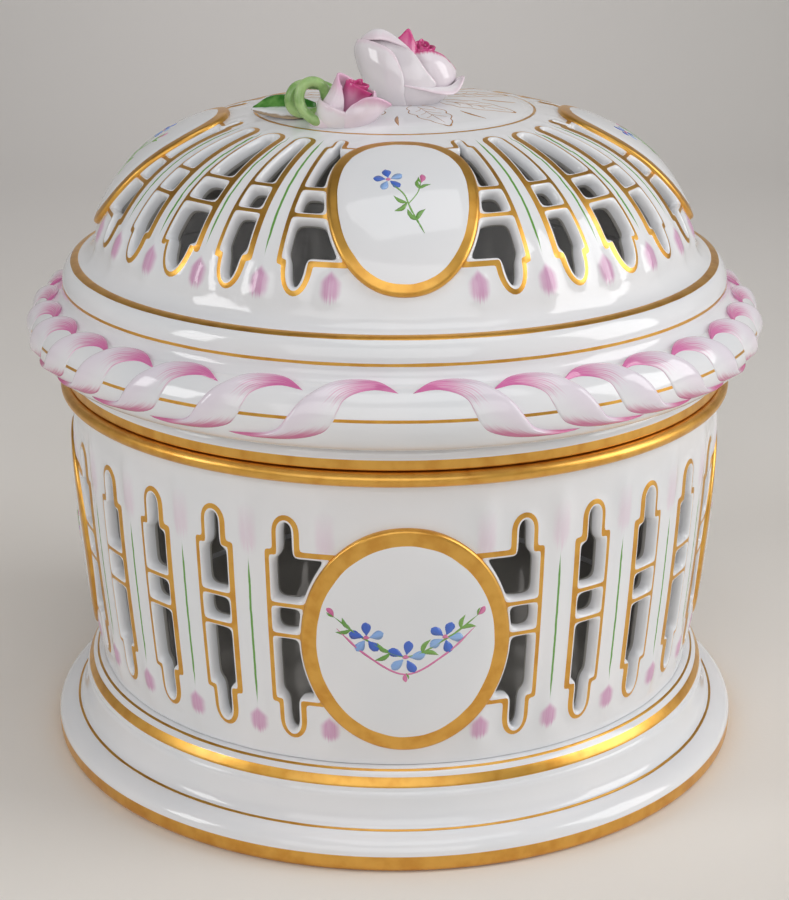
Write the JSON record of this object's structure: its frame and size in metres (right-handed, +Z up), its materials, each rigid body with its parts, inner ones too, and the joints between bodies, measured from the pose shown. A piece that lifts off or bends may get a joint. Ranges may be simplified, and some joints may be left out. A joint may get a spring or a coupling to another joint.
{
  "type": "openwork biscuit box",
  "caption": "Round pierced porcelain box on a moulded foot, with a pierced domed lid, a ribbon-bound roll and a modelled rose knob.",
  "frame": {"origin": "centre of the foot's underside", "axes": "+Z up, -Y towards the front medallions, +X to the right"},
  "size_m": [0.18, 0.1781, 0.1766],
  "materials": {
    "porcelain": "clear gloss glaze",
    "gilding": "burnished gold",
    "ribbon_glaze": "white gloss glaze with a pink painted ribbon",
    "petal_glaze": "gloss glaze, pale pink",
    "deep_pink_glaze": "gloss glaze, deep pink",
    "leaf_glaze": "gloss glaze, leaf green"
  },
  "bodies": {
    "box": {"box_foot": "porcelain", "box_floor": "porcelain", "box_wall": "porcelain", "box_rim": "gilding", "box_medallion_front": "porcelain", "box_medallion_right": "porcelain", "box_medallion_back": "porcelain", "box_medallion_left": "porcelain"},
    "lid": {"lid_flange": "porcelain", "lid_band": "porcelain", "lid_roll": "ribbon_glaze", "lid_shoulder": "porcelain", "lid_dome": "porcelain", "lid_medallion_front": "porcelain", "lid_medallion_right": "porcelain", "lid_medallion_back": "porcelain", "lid_medallion_left": "porcelain", "knob_plate": "porcelain", "rose_base": "petal_glaze", "rose_heart": "deep_pink_glaze", "rose_petal_1": "deep_pink_glaze", "rose_petal_2": "deep_pink_glaze", "rose_petal_3": "deep_pink_glaze", "rose_petal_4": "petal_glaze", "rose_petal_5": "petal_glaze", "rose_petal_6": "petal_glaze", "rose_petal_7": "petal_glaze", "rose_petal_8": "petal_glaze", "rose_petal_9": "petal_glaze", "bud_base": "petal_glaze", "bud_heart": "deep_pink_glaze", "bud_petal_1": "petal_glaze", "bud_petal_2": "petal_glaze", "bud_petal_3": "petal_glaze", "knob_twig": "leaf_glaze", "knob_leaf": "leaf_glaze"}
  },
  "joints": [
    {"name": "lid_lift", "type": "slide", "parent": "box", "child": "lid", "axis": [0, 0, 1], "range_m": [0, 0.06]}
  ]
}
